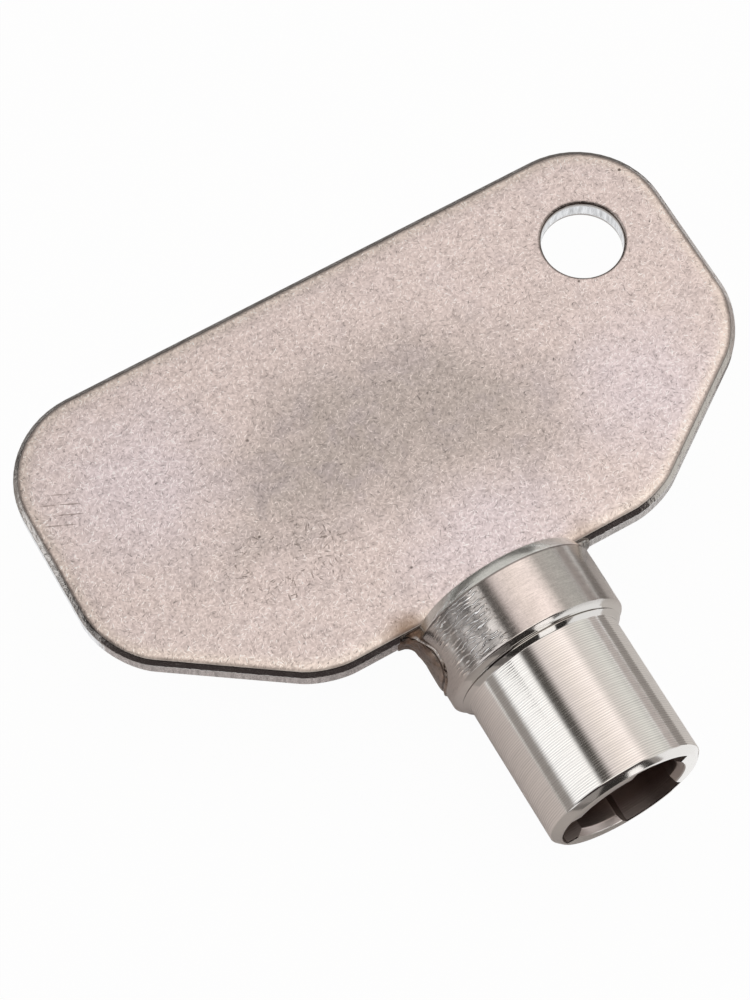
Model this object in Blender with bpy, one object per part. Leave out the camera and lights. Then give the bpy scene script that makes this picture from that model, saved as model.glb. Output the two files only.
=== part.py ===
"""Key with a flat stamped bow, welded into the slotted collar of a turned barrel.

The barrel ends in an open socket: a drilled bore with broached flutes that leave lugs between them.
The key lies flat: X runs across the bow, Y along the barrel from its mouth to the bow, Z is up.
"""

import math

import bmesh
import bpy
from mathutils import Matrix, Vector

# Bow plate, in metres
BOW_WIDTH = 0.0464
BOW_HEIGHT = 0.02485
BOW_SLANT_DROP = 0.00795
BOW_FOOT_WIDTH = 0.02375
BOW_THICKNESS = 0.0018
BOW_CORNER_RADIUS = 0.006
BOW_EDGE_ROUND = 0.00045
KEYRING_HOLE_DIAMETER = 0.006
KEYRING_HOLE_SIDE_INSET = 0.00626
KEYRING_HOLE_TOP_INSET = 0.00678
KEYRING_HOLE_EDGE_BREAK = 0.0002

# Turned barrel, in metres
TUBE_DIAMETER = 0.0104
TUBE_LENGTH = 0.0099
MOUTH_CHAMFER = 0.0004
COLLAR_STEP = 0.0008
COLLAR_LENGTH = 0.00545
COLLAR_TOP_CHAMFER = 0.0007
COLLAR_EDGE_BREAK = 0.00017
SHOULDER_RISE = 0.00048

# Socket in the barrel's mouth, in metres
MOUTH_LAND = 0.0001
LUG_HEIGHT = 0.0011
LUG_LEAD_IN = 0.0004
FLUTE_COUNT = 3
FLUTE_WIDTH = 0.0042
DRILL_POINT_ANGLE = math.radians(118.0)
SOCKET_WEB = 0.0028

# Slot across the collar and the two weld fillets that hold the bow in it, in metres
SLOT_DEPTH = 0.003
WELD_WIDTH = 0.0042
WELD_TIP_LAND = 0.0014
WELD_CORNER_RADIUS = 0.0014
WELD_PROUD = 0.00015
WELD_EDGE_THICKNESS = 0.0002
WELD_LEG_LEFT = 0.00095
WELD_LEG_RIGHT = 0.0005

# Gap kept between pieces that seat on each other, and how far a cutter runs past a face
CLEARANCE = 0.0003
CUT_MARGIN = 0.001

# Smoothness of round shapes
TURNED_SEGMENTS = 96
HOLE_SEGMENTS = 48
CORNER_STEPS = 10
FLUTE_FLOOR_STEPS = 8
WELD_ROWS = 14
WELD_COLUMNS = 10
EDGE_ROUND_SEGMENTS = 3
SHARP_ANGLE = math.radians(28.0)

# Sizes that follow from those above
TUBE_RADIUS = TUBE_DIAMETER / 2
COLLAR_RADIUS = TUBE_RADIUS + COLLAR_STEP
COLLAR_TOP = TUBE_LENGTH + COLLAR_LENGTH
BOW_FOOT = COLLAR_TOP
OVERALL_LENGTH = BOW_FOOT + BOW_HEIGHT
FLUTE_RADIUS = TUBE_RADIUS - MOUTH_CHAMFER - MOUTH_LAND
BORE_RADIUS = FLUTE_RADIUS - LUG_HEIGHT
SLOT_FLOOR = COLLAR_TOP - SLOT_DEPTH
SLOT_WIDTH = BOW_THICKNESS + 2 * CLEARANCE
DRILL_POINT_HEIGHT = BORE_RADIUS / math.tan(DRILL_POINT_ANGLE / 2)
SOCKET_DEPTH = SLOT_FLOOR - SOCKET_WEB - DRILL_POINT_HEIGHT
WELD_RADIUS = COLLAR_RADIUS + WELD_PROUD
WELD_SEAT = math.sqrt(WELD_RADIUS ** 2 - (WELD_WIDTH / 2) ** 2) - WELD_EDGE_THICKNESS
WELD_TIP = TUBE_LENGTH + WELD_TIP_LAND + CLEARANCE
WELD_TOP = BOW_FOOT - CLEARANCE
POCKET_SEAT = WELD_SEAT - CLEARANCE


def clear_scene():
    """Remove every object, so that the key is all that the file holds."""
    for leftover in list(bpy.data.objects):
        bpy.data.objects.remove(leftover, do_unlink=True)


def make_material(name, color, roughness):
    """A bare metal finish."""
    material = bpy.data.materials.new(name)
    material.use_nodes = True
    shader = material.node_tree.nodes["Principled BSDF"]
    shader.inputs["Base Color"].default_value = (*color, 1.0)
    shader.inputs["Metallic"].default_value = 1.0
    shader.inputs["Roughness"].default_value = roughness
    return material


def make_object(name, bm, parent, material=None):
    """Turn a bmesh into a smooth-shaded object that hangs on the key's own frame."""
    bmesh.ops.recalc_face_normals(bm, faces=bm.faces)
    mesh = bpy.data.meshes.new(name)
    bm.to_mesh(mesh)
    bm.free()
    mesh.shade_smooth()
    mesh.set_sharp_from_angle(angle=SHARP_ANGLE)
    piece = bpy.data.objects.new(name, mesh)
    bpy.context.scene.collection.objects.link(piece)
    piece.parent = parent
    if material:
        mesh.materials.append(material)
    return piece


def cut(piece, name, bm):
    """Cut one shape out of a piece; the shape itself stays as a hidden wire guide."""
    cutter = make_object(name, bm, piece.parent)
    cutter.rotation_euler = piece.rotation_euler
    cutter.hide_render = True
    cutter.display_type = "WIRE"
    boolean = piece.modifiers.new(name, "BOOLEAN")
    boolean.operation = "DIFFERENCE"
    boolean.solver = "EXACT"
    boolean.object = cutter


def turned(profile, segments):
    """Spin a profile of (radius, height) points, which starts and ends on the Z axis, into a solid."""
    bm = bmesh.new()
    points = [bm.verts.new((radius, 0.0, height)) for radius, height in profile]
    edges = [bm.edges.new(pair) for pair in zip(points, points[1:])]
    bmesh.ops.spin(
        bm, geom=points + edges, cent=(0.0, 0.0, 0.0), axis=(0.0, 0.0, 1.0),
        angle=math.tau, steps=segments, use_merge=True,
    )
    bmesh.ops.remove_doubles(bm, verts=bm.verts, dist=CLEARANCE / 1000)
    return bm


def prism(outline, low, high):
    """A straight solid on a flat outline, from one height to another along Z."""
    bm = bmesh.new()
    base = bm.faces.new([bm.verts.new((x, y, low)) for x, y in outline])
    grown = bmesh.ops.extrude_face_region(bm, geom=[base])
    raised = [item for item in grown["geom"] if isinstance(item, bmesh.types.BMVert)]
    bmesh.ops.translate(bm, verts=raised, vec=(0.0, 0.0, high - low))
    return bm


def arc(center, radius, start, end, steps):
    """Points on an arc, both ends included."""
    points = []
    for step in range(steps + 1):
        angle = start + (end - start) * step / steps
        points.append((center[0] + radius * math.cos(angle), center[1] + radius * math.sin(angle)))
    return points


def rounded_outline(corners):
    """Replace each (point, radius) corner of a closed outline by an arc that both its sides touch."""
    outline = []
    for index, (corner, radius) in enumerate(corners):
        if not radius:
            outline.append(corner)
            continue
        here = Vector(corner)
        back = (Vector(corners[index - 1][0]) - here).normalized()
        ahead = (Vector(corners[(index + 1) % len(corners)][0]) - here).normalized()
        half_angle = back.angle(ahead) / 2
        center = here + (back + ahead).normalized() * (radius / math.sin(half_angle))
        reach = radius / math.tan(half_angle)
        first = here + back * reach - center
        last = here + ahead * reach - center
        start = math.atan2(first.y, first.x)
        turn = (math.atan2(last.y, last.x) - start + math.pi) % math.tau - math.pi
        outline += arc(center, radius, start, start + turn, CORNER_STEPS)
    return outline


def bow_outline():
    """Half of the bow with its tang, then its mirror image: wide flat top, slanted lower corners."""
    half_width = BOW_WIDTH / 2
    slant_start = OVERALL_LENGTH - (BOW_HEIGHT - BOW_SLANT_DROP)
    tang_end = SLOT_FLOOR + CLEARANCE
    right_half = [
        ((half_width, OVERALL_LENGTH), BOW_CORNER_RADIUS),
        ((half_width, slant_start), BOW_CORNER_RADIUS),
        ((BOW_FOOT_WIDTH / 2, BOW_FOOT), BOW_CORNER_RADIUS),
        ((POCKET_SEAT, BOW_FOOT), 0.0),
        ((POCKET_SEAT, tang_end), 0.0),
    ]
    left_half = [((-x, y), radius) for (x, y), radius in reversed(right_half)]
    return rounded_outline(right_half + left_half)


def build_bow_plate(frame, material):
    """The stamped plate that the fingers turn, with a tang for the slot and a hole for a key ring."""
    bm = prism(bow_outline(), -BOW_THICKNESS / 2, BOW_THICKNESS / 2)
    weights = bm.edges.layers.float.new("bevel_weight_edge")
    for edge in bm.edges:
        edge[weights] = float(edge.verts[0].co.z == edge.verts[1].co.z)
    plate = make_object("bow_plate", bm, frame, material)

    rounding = plate.modifiers.new("rounded_edges", "BEVEL")
    rounding.limit_method = "WEIGHT"
    rounding.width = BOW_EDGE_ROUND
    rounding.segments = EDGE_ROUND_SEGMENTS

    hole_radius = KEYRING_HOLE_DIAMETER / 2
    face = BOW_THICKNESS / 2
    flared = hole_radius + KEYRING_HOLE_EDGE_BREAK + CUT_MARGIN
    profile = [
        (0.0, -face - CUT_MARGIN),
        (flared, -face - CUT_MARGIN),
        (hole_radius, -face + KEYRING_HOLE_EDGE_BREAK),
        (hole_radius, face - KEYRING_HOLE_EDGE_BREAK),
        (flared, face + CUT_MARGIN),
        (0.0, face + CUT_MARGIN),
    ]
    hole = turned(profile, HOLE_SEGMENTS)
    hole_center = (
        BOW_WIDTH / 2 - KEYRING_HOLE_SIDE_INSET,
        OVERALL_LENGTH - KEYRING_HOLE_TOP_INSET,
        0.0,
    )
    bmesh.ops.translate(hole, verts=hole.verts, vec=hole_center)
    cut(plate, "keyring_hole", hole)


def socket_bore():
    """The drilled bore with its conical end and the lead-in that opens towards the mouth."""
    return turned(
        [
            (0.0, -CUT_MARGIN),
            (BORE_RADIUS + LUG_LEAD_IN + CUT_MARGIN, -CUT_MARGIN),
            (BORE_RADIUS, LUG_LEAD_IN),
            (BORE_RADIUS, SOCKET_DEPTH),
            (0.0, SOCKET_DEPTH + DRILL_POINT_HEIGHT),
        ],
        TURNED_SEGMENTS,
    )


def socket_flute(angle):
    """One broached flute: straight sides, and a floor that follows the tube's wall."""
    half_width = FLUTE_WIDTH / 2
    spread = math.asin(half_width / FLUTE_RADIUS)
    outline = [(0.0, -half_width)]
    outline += arc((0.0, 0.0), FLUTE_RADIUS, -spread, spread, FLUTE_FLOOR_STEPS)
    outline += [(0.0, half_width)]
    flute = prism(outline, -CUT_MARGIN, SOCKET_DEPTH)
    bmesh.ops.transform(flute, verts=flute.verts, matrix=Matrix.Rotation(angle, 4, "Z"))
    return flute


def collar_slot():
    """The saw cut across the collar that takes the bow's tang."""
    half_length = COLLAR_RADIUS + CUT_MARGIN
    half_width = SLOT_WIDTH / 2
    outline = [
        (-half_length, -half_width),
        (half_length, -half_width),
        (half_length, half_width),
        (-half_length, half_width),
    ]
    return prism(outline, SLOT_FLOOR, COLLAR_TOP + CUT_MARGIN)


def weld_pocket(side):
    """The tongue-shaped hollow that the weld has eaten into one flank of the collar."""
    half_width = WELD_WIDTH / 2 + CLEARANCE
    low = WELD_TIP - CLEARANCE
    high = COLLAR_TOP + CUT_MARGIN
    radius = WELD_CORNER_RADIUS + CLEARANCE
    outline = rounded_outline([
        ((-half_width, low), radius),
        ((half_width, low), radius),
        ((half_width, high), 0.0),
        ((-half_width, high), 0.0),
    ])
    pocket = prism(outline, POCKET_SEAT, COLLAR_RADIUS + CUT_MARGIN)
    stand_on_flank = Matrix(((0, 0, side, 0), (side, 0, 0, 0), (0, 1, 0, 0), (0, 0, 0, 1)))
    bmesh.ops.transform(pocket, verts=pocket.verts, matrix=stand_on_flank)
    return pocket


def build_barrel(frame, material):
    """The turned barrel: open tube with a fluted socket, coned shoulder, slotted collar."""
    shoulder_radius = COLLAR_RADIUS - COLLAR_EDGE_BREAK
    collar_edge = TUBE_LENGTH + SHOULDER_RISE
    profile = [
        (0.0, 0.0),
        (TUBE_RADIUS - MOUTH_CHAMFER, 0.0),
        (TUBE_RADIUS, MOUTH_CHAMFER),
        (TUBE_RADIUS, TUBE_LENGTH),
        (shoulder_radius, collar_edge),
        (COLLAR_RADIUS, collar_edge + COLLAR_EDGE_BREAK),
        (COLLAR_RADIUS, COLLAR_TOP - COLLAR_TOP_CHAMFER),
        (COLLAR_RADIUS - COLLAR_TOP_CHAMFER, COLLAR_TOP),
        (0.0, COLLAR_TOP),
    ]
    barrel = make_object("barrel", turned(profile, TURNED_SEGMENTS), frame, material)
    barrel.rotation_euler.x = -math.pi / 2

    cut(barrel, "socket_bore", socket_bore())
    for index in range(FLUTE_COUNT):
        angle = math.pi + math.tau * index / FLUTE_COUNT
        cut(barrel, f"socket_flute_{index + 1}", socket_flute(angle))
    cut(barrel, "collar_slot", collar_slot())
    cut(barrel, "weld_pocket_left", weld_pocket(-1))
    cut(barrel, "weld_pocket_right", weld_pocket(1))


def weld_half_width(height):
    """Half the width of the weld's tongue at a height: straight sides, rounded lower corners."""
    straight = WELD_WIDTH / 2 - WELD_CORNER_RADIUS
    below = max(0.0, WELD_TIP + WELD_CORNER_RADIUS - height)
    return straight + math.sqrt(max(0.0, WELD_CORNER_RADIUS ** 2 - below ** 2))


def weld_surface(height, across, leg):
    """How far the weld's skin lies from the barrel's axis plane: collar round, hollow fillet at the top."""
    skin = math.sqrt(WELD_RADIUS ** 2 - across ** 2)
    rise = max(0.0, height - (WELD_TOP - leg))
    fade = 0.5 + 0.5 * math.cos(math.pi * across / (WELD_WIDTH / 2))
    return skin + fade * (leg - math.sqrt(max(0.0, leg ** 2 - rise ** 2)))


def build_weld_fillet(name, frame, material, side, leg):
    """One weld: a tongue of metal on the collar's flank that flares out under the bow's foot."""
    bm = bmesh.new()
    skin_rows = []
    seat_rows = []
    for row in range(WELD_ROWS + 1):
        height = WELD_TIP + (WELD_TOP - WELD_TIP) * math.sin(math.pi / 2 * row / WELD_ROWS) ** 2
        half_width = weld_half_width(height)
        skin = []
        seat = []
        for column in range(WELD_COLUMNS + 1):
            across = half_width * (2 * column / WELD_COLUMNS - 1)
            skin.append(bm.verts.new((side * weld_surface(height, across, leg), height, across)))
            seat.append(bm.verts.new((side * WELD_SEAT, height, across)))
        skin_rows.append(skin)
        seat_rows.append(seat)

    for rows in (skin_rows, seat_rows):
        for low, high in zip(rows, rows[1:]):
            for column in range(WELD_COLUMNS):
                bm.faces.new((low[column], low[column + 1], high[column + 1], high[column]))
    rims = [
        (skin_rows[0], seat_rows[0]),
        (skin_rows[-1], seat_rows[-1]),
        ([row[0] for row in skin_rows], [row[0] for row in seat_rows]),
        ([row[-1] for row in skin_rows], [row[-1] for row in seat_rows]),
    ]
    for outer, inner in rims:
        for index in range(len(outer) - 1):
            bm.faces.new((outer[index], outer[index + 1], inner[index + 1], inner[index]))
    make_object(name, bm, frame, material)


def main():
    """Build the four pieces on one frame, centred over the surface that the key lies on."""
    clear_scene()
    frame = bpy.data.objects.new("key_frame", None)
    bpy.context.scene.collection.objects.link(frame)
    frame.location = (0.0, -OVERALL_LENGTH / 2, COLLAR_RADIUS)

    plate_steel = make_material("tumbled_steel", (0.56, 0.51, 0.48), 0.42)
    turned_steel = make_material("turned_steel", (0.66, 0.64, 0.61), 0.24)
    weld_steel = make_material("weld_steel", (0.42, 0.37, 0.33), 0.34)

    build_bow_plate(frame, plate_steel)
    build_barrel(frame, turned_steel)
    build_weld_fillet("weld_fillet_left", frame, weld_steel, -1, WELD_LEG_LEFT)
    build_weld_fillet("weld_fillet_right", frame, weld_steel, 1, WELD_LEG_RIGHT)


main()
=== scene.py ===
"""A key with a stamped bow, welded into a turned barrel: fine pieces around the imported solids.

X runs across the bow, Y along the barrel from its mouth to the bow, Z is up. All lengths are in metres.
"""

import math
from functools import reduce
from operator import add
from types import SimpleNamespace

import bmesh
import bpy
from bpy.props import FloatProperty, FloatVectorProperty, IntProperty, PointerProperty
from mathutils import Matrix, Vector, noise


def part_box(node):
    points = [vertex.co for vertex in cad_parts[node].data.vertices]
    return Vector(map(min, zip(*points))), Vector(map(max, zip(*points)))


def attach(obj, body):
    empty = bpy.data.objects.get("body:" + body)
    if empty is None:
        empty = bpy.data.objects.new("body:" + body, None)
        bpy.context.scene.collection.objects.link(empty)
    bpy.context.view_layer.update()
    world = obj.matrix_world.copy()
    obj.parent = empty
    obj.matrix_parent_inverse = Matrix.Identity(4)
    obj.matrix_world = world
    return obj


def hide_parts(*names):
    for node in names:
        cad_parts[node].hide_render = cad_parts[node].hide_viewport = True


bl_info = {
    "name": "Socket key with a stamped bow",
    "version": (1, 0, 0),
    "blender": (4, 5, 0),
    "location": "3D View > Sidebar > Key",
    "description": "Models the bow plate, the turned barrel and the welds of a socket key, and its stage",
    "category": "Object",
}

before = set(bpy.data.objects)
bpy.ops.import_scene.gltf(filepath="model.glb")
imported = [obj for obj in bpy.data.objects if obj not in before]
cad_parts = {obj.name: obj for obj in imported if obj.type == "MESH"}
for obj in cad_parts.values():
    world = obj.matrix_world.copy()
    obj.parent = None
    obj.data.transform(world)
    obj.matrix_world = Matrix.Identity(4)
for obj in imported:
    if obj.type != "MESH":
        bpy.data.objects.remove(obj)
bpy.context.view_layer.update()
BODY = "root"

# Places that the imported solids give
PLATE_LOW, PLATE_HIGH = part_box("bow_plate")
BARREL_LOW, BARREL_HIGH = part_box("barrel")
MOUTH = BARREL_LOW.y
FOOT = BARREL_HIGH.y
TOP = PLATE_HIGH.y
AXIS = (BARREL_LOW.z + BARREL_HIGH.z) / 2
PLATE_THICKNESS = PLATE_HIGH.z - PLATE_LOW.z
COLLAR_RADIUS = (BARREL_HIGH.z - BARREL_LOW.z) / 2

# Tolerances for picking points and for merging them, and how far a cutter reaches past what it cuts
NEAR = 1e-6
MERGE = 2e-7
CUT_MARGIN = 0.001

# Millimetres in a metre: the finishes are worked out in millimetres
MM = 1000.0
# Middle of a noise that runs from 0 to 1
NOISE_MIDDLE = 0.5
# Profile of a bevel that is part of a circle
ROUND_PROFILE = 0.5
# Bias of the weighted normals towards large faces
NORMAL_WEIGHT = 80
# Marks that the welds' points carry for their finish: the groove round the weld, where painted shade falls,
# and the crest of its bead, which carries a painted highlight
WELD_MARKS = ("toe", "crest")


def length_property(name, description, default):
    """A size that a user would change, in metres."""
    return FloatProperty(
        name=name, description=description, default=default, min=0.0, precision=5,
        unit="LENGTH", subtype="DISTANCE",
    )


def angle_property(name, description, degrees):
    """An angle that a user would change."""
    return FloatProperty(
        name=name, description=description, default=math.radians(degrees), min=0.0,
        unit="ROTATION", subtype="ANGLE",
    )


def color_property(name, description, default):
    """A colour that a user would change."""
    return FloatVectorProperty(
        name=name, description=description, default=default, min=0.0, max=1.0, size=3, subtype="COLOR",
    )


class KeyBowSettings(bpy.types.PropertyGroup):
    """Sizes and colours of the stamped bow plate."""

    slant_drop: length_property("Slant drop", "Height of the slanted lower sides", 0.00795)
    foot_width: length_property("Foot width", "Width of the straight lower side", 0.02375)
    top_reach: length_property("Top corner reach", "Where the top corners' rounding begins", 0.0061)
    side_reach: length_property("Side corner reach", "Where the side corners' rounding begins", 0.0031)
    foot_reach: length_property("Foot corner reach", "Where the foot corners' rounding begins", 0.0019)
    edge_corner: length_property("Edge corner", "Radius between the plate's side and its bevel", 0.0001)
    bevel_width: length_property("Bevel width", "Width of the bevel that the punch leaves", 0.00026)
    bevel_tilt: angle_property("Bevel tilt", "Slope of that bevel", 38.0)
    edge_ease: length_property("Edge ease", "Radius between the bevel and the face", 0.0003)
    roll_width: length_property("Die roll width", "Band inside the bevel that the punch pulls down", 0.0013)
    roll_tilt: angle_property("Die roll tilt", "Slope of that band beside the bevel", 8.0)
    tang_width: length_property("Tang width", "Width of the tongue in the collar's slot", 0.0106)
    tang_length: length_property("Tang length", "Length of the tongue in the collar's slot", 0.0027)
    hole_diameter: length_property("Hole diameter", "Diameter of the keyring hole", 0.00538)
    hole_side_inset: length_property("Hole side inset", "Keyring hole's centre from the side", 0.0062)
    hole_top_inset: length_property("Hole top inset", "Keyring hole's centre from the top", 0.00677)
    hole_round: length_property("Hole rounding", "Radius on the keyring hole's edges", 0.0003)
    warm_color: color_property("Warm steel", "Colour of most of the plate", (0.78, 0.695, 0.675))
    olive_color: color_property("Olive steel", "Colour of its greyer patches", (0.52, 0.475, 0.45))
    lilac_color: color_property("Lilac steel", "Colour of its cooler patches", (0.80, 0.735, 0.775))
    dusk_color: color_property("Dusky steel", "Colour of the small dim patches", (0.47, 0.43, 0.45))
    # Die roll: painted highlight on the band inside the edges
    roll_highlight_color: color_property("Die roll", "Colour of the band inside the edges", (0.92, 0.82, 0.745))
    edge_color: color_property("Worn edge", "Colour of the tumbled edges", (0.62, 0.605, 0.59))
    # Edge line: painted shade where the bevel begins and round the keyring hole's rim
    edge_shade_color: color_property("Edge line", "Dark line where the bevel begins", (0.10, 0.075, 0.065))
    wall_color: color_property("Sheared wall", "Colour of the plate's cut sides", (0.72, 0.725, 0.74))
    pit_color: color_property("Pits", "Colour of the pits and dark scratches", (0.16, 0.12, 0.10))
    stain_color: color_property("Stain", "Brown stain beside the welds", (0.24, 0.155, 0.10))


class KeyBarrelSettings(bpy.types.PropertyGroup):
    """Sizes and colours of the turned barrel."""

    tube_diameter: length_property("Tube diameter", "Outer diameter of the tube", 0.0104)
    tube_length: length_property("Tube length", "Length of the tube below the shoulder", 0.0099)
    mouth_chamfer: length_property("Mouth chamfer", "Chamfer round the mouth", 0.0004)
    shoulder_rise: length_property("Shoulder rise", "Height of the coned shoulder", 0.00066)
    shoulder_line: length_property("Shoulder line", "Depth of the tool's line round the shoulder", 0.0001)
    collar_chamfer: length_property("Collar chamfer", "Height of the collar's upper chamfer", 0.0007)
    collar_taper: length_property("Collar taper", "How far that chamfer goes inwards", 0.0004)
    collar_lap: length_property("Collar lap", "How far the collar laps over the bow's foot", 0.00015)
    lug_radius: length_property("Bore radius", "Radius of the drilled bore between the lugs", 0.0036)
    lug_lead: length_property("Lug lead-in", "Chamfer on the lugs at the mouth", 0.0004)
    flute_radius: length_property("Flute radius", "Radius of the flutes' floors", 0.00463)
    flute_width: length_property("Flute width", "Width of each flute", 0.0042)
    flute_count: IntProperty(name="Flutes", description="Number of flutes", default=3, min=1, max=12)
    socket_depth: length_property("Socket depth", "Depth of the bore to its conical end", 0.00739)
    drill_point: length_property("Drill point", "Height of the bore's conical end", 0.00216)
    slot_gap: length_property("Slot gap", "Gap between tang and slot wall", 0.00003)
    turned_color: color_property("Turned steel", "Colour of the bright tube", (0.83, 0.81, 0.785))
    collar_color: color_property("Collar steel", "Colour of the collar", (0.80, 0.745, 0.715))
    # Dull collar: painted shade on the collar's flanks
    flank_shade_color: color_property("Dull collar", "Colour of the flanks that the heat dulled", (0.45, 0.43, 0.41))
    # Bright chamfer: painted highlight on the collar's chamfer
    chamfer_highlight_color: color_property("Bright chamfer", "Colour of the collar's chamfer", (0.96, 0.98, 0.94))
    # Bore: painted shade inside the socket
    bore_shade_color: color_property("Bore", "Colour of the oily dark socket", (0.34, 0.25, 0.225))
    # Tool lines: painted shade in the shoulder's groove and on the line under the collar's chamfer
    line_color: color_property("Tool lines", "Colour of the tool's dark lines", (0.085, 0.06, 0.052))


class KeyWeldSettings(bpy.types.PropertyGroup):
    """Sizes and colours of the two welds."""

    width: length_property("Weld width", "Width of each tongue of weld metal", 0.0046)
    tip: length_property("Weld tip", "Height of the tongue's tip above the mouth", 0.0113)
    corner: length_property("Weld corner", "Rounding of the tongue's lower corners", 0.0015)
    proud: length_property("Weld crown", "How far the left weld stands proud of the collar", 0.00012)
    sink: length_property("Weld toe", "How far the weld's rim sinks into the collar", 0.0001)
    leg_left: length_property("Left leg", "Size of the fillet under the bow, on the left", 0.00105)
    leg_right: length_property("Right leg", "Size of the fillet under the bow, on the right", 0.0006)
    flush: length_property("Right crown", "How far the right weld stands proud of the collar", 0.00002)
    wall: length_property("Weld depth", "Depth of weld metal below its skin", 0.0004)
    neck: length_property("Weld neck", "Height over which the tongue narrows towards the bow", 0.0022)
    overlap: length_property("Weld overlap", "How far the weld laps over the bow's lower edge", 0.0003)
    bead: length_property("Weld bead", "Height of the bead along the weld's rim", 0.00006)
    groove: length_property("Weld groove", "Depth of the groove inside that bead", 0.00007)
    metal_color: color_property("Weld metal", "Colour of the left weld", (0.37, 0.32, 0.285))
    tint_color: color_property("Heat tint", "Brown tint that the heat leaves", (0.21, 0.14, 0.10))
    grey_color: color_property("Grey weld", "Colour of the right weld", (0.45, 0.43, 0.41))
    # Weld toe colour: painted shade in the groove round the weld and in its pit
    toe_shade_color: color_property("Weld toe", "Colour of the groove round the weld", (0.07, 0.05, 0.04))
    # Crest colour: painted highlight on the bead's crest beside the bow
    crest_highlight_color: color_property("Crest colour", "Bright crest of the bead beside the bow", (0.92, 0.87, 0.84))


class KeyStageSettings(bpy.types.PropertyGroup):
    """Camera, floor and light."""

    camera_place: FloatVectorProperty(
        name="Camera place", description="Where the camera stands",
        default=(-0.038274, -0.061199, 0.178031), subtype="TRANSLATION", unit="LENGTH", precision=6,
    )
    camera_turn: FloatVectorProperty(
        name="Camera turn", description="How the camera is turned",
        default=(0.40763, 0.01318, -0.51781), subtype="EULER", unit="ROTATION", precision=5,
    )
    lens: FloatProperty(name="Lens", description="Focal length in millimetres", default=108.0, min=1.0)
    floor_size: length_property("Floor size", "Side of the floor", 3.0)
    floor_color: color_property("Floor", "Colour of the floor", (0.92, 0.92, 0.92))
    floor_glow: FloatProperty(
        name="Floor glow", description="Share of the floor that shows white whatever falls on it",
        default=0.965, min=0.0, max=1.0, subtype="FACTOR",
    )


# Modelling helpers


def begin():
    """Leave nothing selected, so that the next operator acts only on its own piece."""
    if bpy.context.object and bpy.context.object.mode != "OBJECT":
        bpy.ops.object.mode_set(mode="OBJECT")
    bpy.ops.object.select_all(action="DESELECT")


def make_active(piece):
    """Select one piece alone."""
    begin()
    piece.select_set(True)
    bpy.context.view_layer.objects.active = piece


def edit_mode():
    """Edit the active piece with everything selected."""
    bpy.ops.object.mode_set(mode="EDIT")
    bpy.ops.mesh.select_all(action="SELECT")


def object_mode():
    """Leave edit mode."""
    bpy.ops.object.mode_set(mode="OBJECT")


def pick(kind, test):
    """Select the points, edges or faces of the edited piece that pass a test."""
    bpy.ops.mesh.select_mode(type={"verts": "VERT", "edges": "EDGE", "faces": "FACE"}[kind])
    bpy.ops.mesh.select_all(action="DESELECT")
    mesh = bpy.context.object.data
    bm = bmesh.from_edit_mesh(mesh)
    found = [item for item in getattr(bm, kind) if test(item)]
    for item in found:
        item.select_set(True)
    bm.select_flush_mode()
    bmesh.update_edit_mesh(mesh)
    if not found:
        raise RuntimeError(f"nothing to pick among the {kind} of {bpy.context.object.name}")


def bevel_points(reach, steps):
    """Round the picked corners of a line or a flat outline."""
    bpy.ops.mesh.bevel(
        offset=reach, segments=steps, profile=ROUND_PROFILE, affect="VERTICES", clamp_overlap=False,
    )


def cut_off(place, normal, **settings):
    """Cut the whole edited piece by a plane."""
    bpy.ops.mesh.select_all(action="SELECT")
    bpy.ops.mesh.bisect(plane_co=place, plane_no=normal, threshold=MERGE, **settings)


def apply_place():
    """Put the active piece's place, turn and scale into its mesh."""
    bpy.ops.object.transform_apply(location=True, rotation=True, scale=True)


def apply_modifier(piece, kind, **settings):
    """Add one modifier and apply it."""
    make_active(piece)
    modifier = piece.modifiers.new(kind.lower(), kind)
    for name, value in settings.items():
        setattr(modifier, name, value)
    bpy.ops.object.modifier_apply(modifier=modifier.name)


def cut_away(piece, cutter):
    """Cut one shape out of a piece and throw the shape away."""
    apply_modifier(piece, "BOOLEAN", operation="DIFFERENCE", solver="EXACT", object=cutter)
    bpy.data.objects.remove(cutter, do_unlink=True)


def tidy_mesh():
    """Merge doubles and turn all faces outwards, in edit mode."""
    bpy.ops.mesh.select_mode(type="VERT")
    bpy.ops.mesh.select_all(action="SELECT")
    bpy.ops.mesh.remove_doubles(threshold=MERGE)
    bpy.ops.mesh.normals_make_consistent(inside=False)


def smooth_shading(piece, angle):
    """Smooth the round faces, and keep the flat ones flat."""
    make_active(piece)
    bpy.ops.object.shade_smooth_by_angle(angle=angle)
    apply_modifier(piece, "WEIGHTED_NORMAL", keep_sharp=True, weight=NORMAL_WEIGHT)


def finish_piece(piece, name, node, material):
    """Name a piece, dress it and put it in place of its solid."""
    piece.name = name
    piece.data.name = name
    piece.data.materials.clear()
    piece.data.materials.append(material)
    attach(piece, BODY)
    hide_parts(node)


def draw_wire(points):
    """A line through points, begun as one point and drawn on by extruding."""
    begin()
    bpy.ops.mesh.primitive_plane_add(size=CUT_MARGIN, location=(0.0, 0.0, 0.0))
    edit_mode()
    bpy.ops.mesh.merge(type="CENTER")
    bpy.ops.transform.translate(value=points[0])
    for last, here in zip(points, points[1:]):
        step = Vector(here) - Vector(last)
        bpy.ops.mesh.extrude_vertices_move(TRANSFORM_OT_translate={"value": step})
    return bpy.context.object


def spin_solid(center, axis, steps):
    """Spin the edited line right round an axis that it starts and ends on."""
    bpy.ops.mesh.select_all(action="SELECT")
    bpy.ops.mesh.spin(steps=steps, angle=math.tau, center=center, axis=axis, use_auto_merge=True)
    tidy_mesh()


def arc(center, radius, start, end, steps):
    """Points on an arc in a plane, both ends included."""
    turn = (end - start) / steps
    return [
        (
            center[0] + radius * math.cos(start + turn * step),
            center[1] + radius * math.sin(start + turn * step),
        )
        for step in range(steps + 1)
    ]


# Shader helpers


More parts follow.
